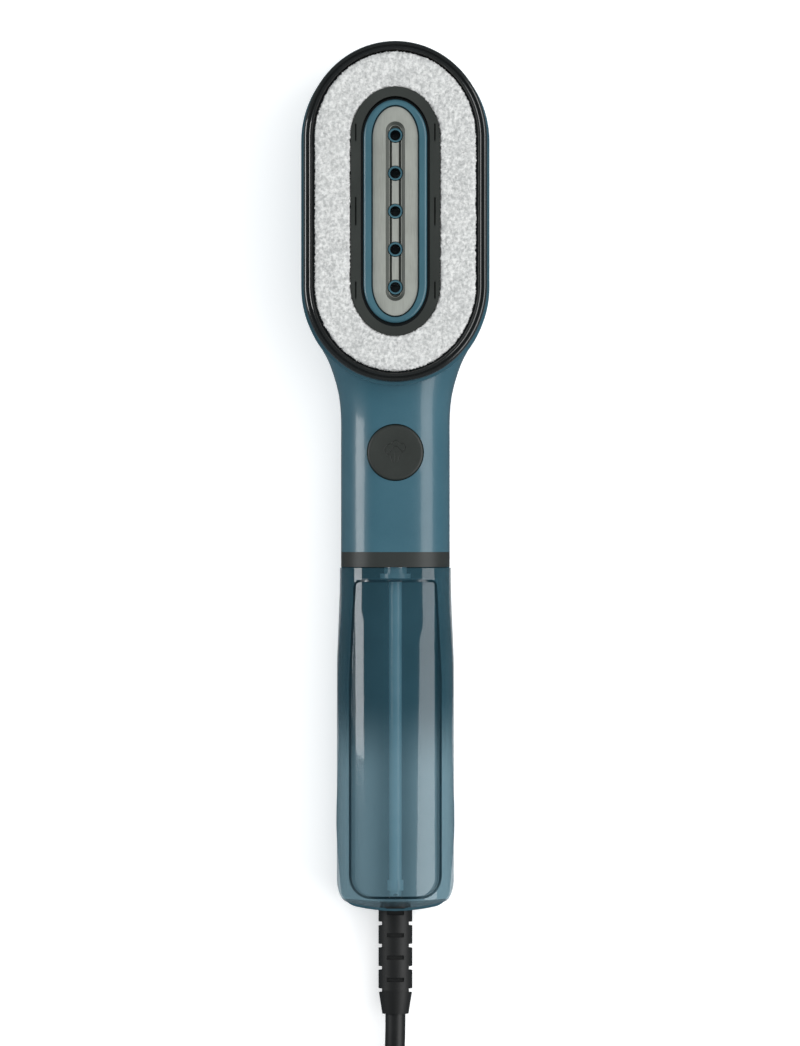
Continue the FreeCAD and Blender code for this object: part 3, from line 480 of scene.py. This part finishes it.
def pick(thing, test, kind="VERT"):
    """In edit mode, selects the vertices or faces whose place passes the test."""
    bpy.ops.mesh.select_mode(type=kind)
    bpy.ops.mesh.select_all(action="DESELECT")
    mesh = bmesh.from_edit_mesh(thing.data)
    for part in mesh.verts if kind == "VERT" else mesh.faces:
        part.select = bool(test(part.co if kind == "VERT" else part.calc_center_median()))
    mesh.select_flush(True)
    bmesh.update_edit_mesh(thing.data)


def freeze(thing):
    only(thing)
    bpy.ops.object.transform_apply(location=True, rotation=True, scale=True)


def alter(thing, kind, **settings):
    """Adds a modifier with these settings and applies it."""
    only(thing)
    made = thing.modifiers.new(kind.lower(), kind)
    for key, value in settings.items():
        setattr(made, key, value)
    bpy.ops.object.modifier_apply(modifier=made.name)


def cut(thing, tool, solver="EXACT"):
    """Takes the tool's shape out of the thing, and the tool away."""
    alter(thing, "BOOLEAN", operation="DIFFERENCE", solver=solver, object=tool)
    bpy.data.objects.remove(tool, do_unlink=True)


def keep(thing, tool):
    """Keeps only what the thing shares with the tool, and takes the tool away."""
    alter(thing, "BOOLEAN", operation="INTERSECT", solver="EXACT", object=tool)
    bpy.data.objects.remove(tool, do_unlink=True)


def round_edges(block, test, radius):
    """Rounds the upright edges whose middles pass the test."""
    edit(block, "EDGE")
    bpy.ops.mesh.select_all(action="DESELECT")
    mesh = bmesh.from_edit_mesh(block.data)
    for side in mesh.edges:
        first, second = (corner.co for corner in side.verts)
        upright = abs(first.z - second.z) > 0.001
        side.select = upright and abs(first.x) > 0.01 and test((first + second) / 2)
    bmesh.update_edit_mesh(block.data)
    bpy.ops.mesh.bevel(offset=radius, segments=8, affect="EDGES")
    leave()


def oval(name, half_width, half_length, height, straight=STRAIGHT):
    """A flat oval face, still in edit mode: a disc whose two halves are pulled apart along Y."""
    bpy.ops.object.select_all(action="DESELECT")
    middle = (0, HEAD_Y, height)
    bpy.ops.mesh.primitive_circle_add(vertices=98, radius=half_width, fill_type="NGON", location=middle)
    thing = bpy.context.object
    thing.name = name
    freeze(thing)
    edit(thing)
    bpy.ops.transform.resize(value=(1, (half_length - straight) / half_width, 1))
    for way in (1, -1):
        pick(thing, lambda place: (place.y - HEAD_Y) * way > 0)
        bpy.ops.transform.translate(value=(0, way * straight, 0))
    bpy.ops.mesh.select_mode(type="FACE")
    bpy.ops.mesh.select_all(action="SELECT")
    return thing


def raise_face(rise):
    bpy.ops.mesh.extrude_region_move(TRANSFORM_OT_translate={"value": (0, 0, rise)})


def steps(profile):
    """Insets the picked face over and over: each step goes inwards, then up, by so many millimetres."""
    for inwards, up in profile:
        bpy.ops.mesh.inset(thickness=inwards * MM, depth=up * MM, use_even_offset=True)


def close_up():
    """Turns every face outwards and leaves edit mode."""
    bpy.ops.mesh.select_all(action="SELECT")
    bpy.ops.mesh.normals_make_consistent(inside=False)
    leave()


def flat_ring(name, half_width, half_length, height, across, thick):
    """An oval ring with flat faces: the middle of an oval is taken out and the rest is raised."""
    thing = oval(name, half_width, half_length, height)
    bpy.ops.mesh.inset(thickness=across, use_even_offset=True)
    bpy.ops.mesh.delete(type="FACE")
    bpy.ops.mesh.select_all(action="SELECT")
    raise_face(thick)
    close_up()
    return thing


def bore(thing, places, radius, vertices):
    """Drills an upright hole at each place."""
    for place in places:
        bpy.ops.mesh.primitive_cylinder_add(vertices=vertices, radius=radius, depth=0.006, location=place)
        cut(thing, bpy.context.object, "MANIFOLD")


def finish_piece(thing, body, material, slot, *stands_for, angle=30):
    only(thing)
    bpy.ops.object.shade_smooth_by_angle(angle=math.radians(angle))
    dress(thing, material)
    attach(thing, body)
    if stands_for:
        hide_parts(*stands_for)
    print(thing.name, len(thing.data.polygons), "faces")


print("head's middle", HEAD_Y, "straight", 2 * STRAIGHT)

# %% [markdown]
# The rim round the head is a gloss black moulding with two soft ridges and a fine groove between them.
# It is one oval face taken up the outside, over both ridges and down the inside by insets, which keeps
# its width the same all the way round.  Its inner and lower faces are then deleted, and the two open
# edges bridged.

# %% Rim
rim = oval("rim", 0.03145, 0.0584, 0.048)
raise_face(0.0058)
steps([(0.3, 0.75), (0.3, 0.4), (0.35, 0.2), (0.35, 0.0), (0.1, -0.15)])
steps([(0.06, -0.75), (0.28, 0.0), (0.06, 0.9)])
steps([(0.2, 0.35), (0.3, 0.2), (0.5, 0.05), (0.25, -0.2), (0.15, -0.5), (0.05, -1.0)])
raise_face(-0.0052)
bpy.ops.mesh.delete(type="FACE")
pick(rim, lambda place: place.z < 0.0481 and abs(place.x) < 0.001, "FACE")
bpy.ops.mesh.delete(type="FACE")
bpy.ops.mesh.select_mode(type="EDGE")
bpy.ops.mesh.select_non_manifold()
bpy.ops.mesh.bridge_edge_loops()
close_up()
finish_piece(rim, "housing", gloss_black, "black_gloss", "head_rim", angle=40)

# %% [markdown]
# Inside the rim lies the flat panel that carries the pad.  It is an oval ring with a hole near each
# corner, where the pegs of the pad's frame plug in.

# %% Panel behind the pad
panel = flat_ring("panel", 0.02825, 0.0552, 0.0475, 0.0172, 0.002)
peg_holes = [(across, HEAD_Y + along, 0.0485) for across in (-0.022, 0.022) for along in (-0.030, 0.030)]
bore(panel, peg_holes, 0.0014, 32)
finish_piece(panel, "housing", gloss_black, "black_gloss", "head_rim", angle=40)

# %% [markdown]
# The plate is pressed steel with a long opening for the channel.  It is an oval with a rounded edge, and
# the opening is cut out of it with a second oval, whose ends are true half circles.

# %% Steam plate
plate = oval("plate", 0.00775, 0.0358, 0.0535)
raise_face(0.0028)
steps([(0.12, 0.14), (0.2, 0.06)])
leave()
opening = oval("opening", 0.0033, 0.0307, 0.0525, straight=0.0274)
raise_face(0.006)
leave()
cut(plate, opening, "MANIFOLD")
finish_piece(plate, "housing", plate_steel, "plate_steel", "steam_plate")

# %% [markdown]
# In the opening sits the channel: sloping sides, two slots and a narrow strip from nozzle to nozzle.  The
# plate's ends are curved too tightly to inset that far, so the channel is its own piece.  The nozzles'
# holes are bored last.

# %% Channel
FIRST_NOZZLE = 0.0656
NOZZLE_PITCH = 0.013
channel = oval("channel", 0.0034, 0.0308, 0.0535, straight=0.0274)
raise_face(0.0028)
steps([(0.15, -0.05), (1.25, -0.95), (0.05, -1.1), (0.75, 0.0), (0.05, 1.1)])
close_up()
bore(channel, [(0, FIRST_NOZZLE + NOZZLE_PITCH * index, 0.055) for index in range(5)], 0.00265, 48)
finish_piece(channel, "housing", channel_steel, "plate_steel", "steam_plate")

# %% [markdown]
# The pad is a towelling ring stretched over its frame.  A ring with rounded edges is remeshed into even
# little squares, so that its surface can be pushed in and out by noise as loops of yarn.  Two sizes of
# noise, one the size of a loop and one of several, keep it from looking printed.

# %% Pad
pad = flat_ring("pad", 0.0274, 0.0545, 0.0534, 0.0119, 0.0033)
alter(pad, "BEVEL", width=0.0011, segments=3, limit_method="ANGLE", angle_limit=math.radians(50))
alter(pad, "REMESH", mode="VOXEL", voxel_size=0.00034)


def yarn(name, size, strength):
    """Pushes the pad's surface in and out by a cloudy noise of this size."""
    noise = bpy.data.textures.new(name, "CLOUDS")
    noise.noise_scale = size
    noise.noise_depth = 1
    alter(pad, "DISPLACE", texture=noise, strength=strength, mid_level=0.5, texture_coords="LOCAL")


yarn("loops", 0.0005, 0.0011)
yarn("tufts", 0.0013, 0.0006)
finish_piece(pad, "pad", pad_white, "pad_white", "pad_cloth", angle=180)

# %% [markdown]
# The button is a moulded round cap with a rounded edge.  A cylinder gives it its circle, and small insets
# of the top face round it off.

# %% Button
BUTTON_Y = 0.0093
BUTTON_TOP = 0.0392
bpy.ops.object.select_all(action="DESELECT")
middle = (0, BUTTON_Y, BUTTON_TOP - 0.0027)
bpy.ops.mesh.primitive_cylinder_add(vertices=96, radius=0.0096, depth=0.004, location=middle)
button = bpy.context.object
button.name = "button"
freeze(button)
edit(button)
pick(button, lambda place: place.z > BUTTON_TOP - 0.001, "FACE")
steps([(0.14, 0.38), (0.24, 0.2), (0.27, 0.09), (0.3, 0.02), (0.5, -0.02)])
leave()
print("cap", [round(v, 4) for v in button.dimensions])

# %% [markdown]
# A steam mark is engraved in the cap: a cloud over three wisps.  Each stroke is drawn as a thin curve,
# made solid and cut out of the cap, which leaves a real groove that catches the light.

# %% Steam mark


def arc(middle, radius, start, end, count=9):
    """Points along part of a circle, with the angles in degrees and the lengths in millimetres."""
    angles = [math.radians(start + (end - start) * step / (count - 1)) for step in range(count)]
    return [(middle[0] + radius * math.cos(a), middle[1] + radius * math.sin(a)) for a in angles]


strokes = [
    [(-1.7, -0.9), (-1.3, -2.2), (-0.95, -3.5)],
    [(0.0, 0.2), (0.05, -1.6), (-0.1, -3.5)],
    [(1.5, -0.9), (1.25, -2.2), (0.95, -3.5)],
    [(-1.9, 0.1), (-1.0, 1.5), (0.0, 2.4), (1.2, 1.3), (2.5, 0.0)],
    arc((0.1, 2.9), 1.25, 185, -25),
    arc((2.0, 1.7), 1.4, 95, -65),
    arc((-1.75, 1.6), 1.4, 60, 185),
    arc((-2.6, 0.9), 1.2, 100, 230),
    arc((-1.9, -0.2), 0.9, 150, 240, 5),
]
marks = []
for stroke in strokes:
    line = bpy.data.curves.new("stroke", "CURVE")
    line.dimensions = "3D"
    run = line.splines.new("POLY")
    run.points.add(len(stroke) - 1)
    for point, (x, y) in zip(run.points, stroke):
        point.co = (x * MM, BUTTON_Y + y * MM, BUTTON_TOP + 0.00002, 1)
    line.bevel_depth = 0.00024
    line.bevel_resolution = 2
    line.use_fill_caps = True
    mark = bpy.data.objects.new("stroke", line)
    bpy.context.collection.objects.link(mark)
    only(mark)
    bpy.ops.object.convert(target="MESH")
    marks.append(bpy.context.object)
for mark in marks:
    cut(button, mark)
finish_piece(button, "button", matte_dark, "button_grey", "steam_button")

# %% [markdown]
# The tank's skin is one long clear moulding.  It starts as an eight-sided prism lying along the handle.
# Cut across at a few places and widened towards its lower end, it turns smooth under a subdivision
# surface.  Two straight cuts then give it its upper end and its open back.

# %% Tank skin
TANK_TOP = -0.0305
TANK_BACK = 0.0163
MID_HEIGHT = 0.0196
bpy.ops.object.select_all(action="DESELECT")
bpy.ops.mesh.primitive_cylinder_add(
    vertices=8, radius=0.02035, depth=0.160, location=(0, -0.100, MID_HEIGHT), rotation=LYING
)
skin = bpy.context.object
skin.name = "tank_skin"
freeze(skin)
edit(skin)
pick(skin, lambda place: abs(place.x) > 0.01 and abs(place.z - MID_HEIGHT) > 0.01)
bpy.ops.transform.resize(value=(1.182, 1, 1.182))
for station in (-0.030, -0.038, -0.0535, -0.069, -0.080, -0.110, -0.140):
    bpy.ops.mesh.select_all(action="SELECT")
    bpy.ops.mesh.bisect(plane_co=(0, station, 0), plane_no=(0, 1, 0))
FULL = 1.069  # how much the prism widens below its top
HALF_WAY = 1.0345
widths = [(-0.0535, HALF_WAY)] + [(station, FULL) for station in (-0.069, -0.080, -0.110, -0.140, -0.180)]
for station, wider in widths:
    pick(skin, lambda place: abs(place.y - station) < 0.001)
    bpy.ops.transform.resize(value=(wider, 1, 1 + (wider - 1) * 0.95))
leave()
alter(skin, "SUBSURF", levels=4, render_levels=4)
edit(skin)
bpy.ops.mesh.bisect(plane_co=(0, TANK_TOP, 0), plane_no=(0, 1, 0), use_fill=True, clear_outer=True)
bpy.ops.mesh.select_all(action="SELECT")
bpy.ops.mesh.bisect(plane_co=(0, 0, TANK_BACK), plane_no=(0, 0, 1), use_fill=True, clear_inner=True)
leave()
print("prism", [round(v, 4) for v in skin.dimensions])

# %% [markdown]
# The tank's lower end bulges a little and its corners are round.  The bulge is what the prism shares with
# a large ball, and the corners are what it shares with a slab whose upright edges are rounded.

# %% The tank's lower end
bpy.ops.mesh.primitive_uv_sphere_add(segments=128, ring_count=96, radius=0.0620, location=(0, -0.0867, 0.020))
ball = bpy.context.object
freeze(ball)
keep(skin, ball)
bpy.ops.mesh.primitive_cube_add(size=1, location=(0, -0.0843, 0.030), scale=(0.0405, 0.130, 0.060))
slab = bpy.context.object
freeze(slab)
round_edges(slab, lambda middle: middle.y < -0.1, 0.0105)
keep(skin, slab)
print("skin", [round(v, 4) for v in skin.dimensions])

# %% [markdown]
# The window over the water chamber is curved more strongly than the rest, and a fine groove runs round
# it.  Both follow one outline, so an upright block with that outline is the tool for both, made a little
# larger or smaller.

# %% Window and groove


def window(name, grow, low, high):
    """An upright block with the outline of the water chamber: tapered sides and rounded lower corners."""
    bpy.ops.object.select_all(action="DESELECT")
    size = (0.0300 + 2 * grow, 0.1080 + 2 * grow, high - low)
    bpy.ops.mesh.primitive_cube_add(size=1, location=(0, -0.0895, (low + high) / 2), scale=size)
    block = bpy.context.object
    block.name = name
    freeze(block)
    edit(block)
    bpy.ops.mesh.bisect(plane_co=(0, -0.069, 0), plane_no=(0, 1, 0))
    bpy.ops.mesh.select_all(action="SELECT")
    bpy.ops.mesh.bisect(plane_co=(0, -0.052, 0), plane_no=(0, 1, 0))
    pick(block, lambda place: place.y > -0.04)
    bpy.ops.transform.resize(value=(0.893, 1, 1))
    pick(block, lambda place: abs(place.y + 0.052) < 0.001)
    bpy.ops.transform.resize(value=(0.95, 1, 1))
    leave()
    round_edges(block, lambda middle: middle.y < -0.1, 0.0065 + grow)
    round_edges(block, lambda middle: middle.y > -0.04, 0.0012 + grow)
    return block


# The window's own surface is a tighter cylinder: what lies above it inside the outline is cut away.
bpy.ops.mesh.primitive_cylinder_add(
    vertices=256, radius=0.0228, depth=0.2, location=(0, -0.09, 0.01735), rotation=LYING
)
bow = bpy.context.object
freeze(bow)
spare = window("spare", 0.0, 0.020, 0.050)
cut(spare, bow)
cut(skin, spare)

# The groove follows the outline, one millimetre wide and a little less deep.
core = skin.copy()
core.data = skin.data.copy()
bpy.context.collection.objects.link(core)
edit(core)
bpy.ops.transform.shrink_fatten(value=-0.0008)
leave()
groove = window("groove", 0.0010, 0.0290, 0.050)
middle_block = window("middle_block", 0.0001, 0.0280, 0.051)
cut(groove, middle_block)
cut(groove, core)
cut(skin, groove)
finish_piece(skin, "tank", tank_skin, "tank_tint", "tank_front", angle=28)
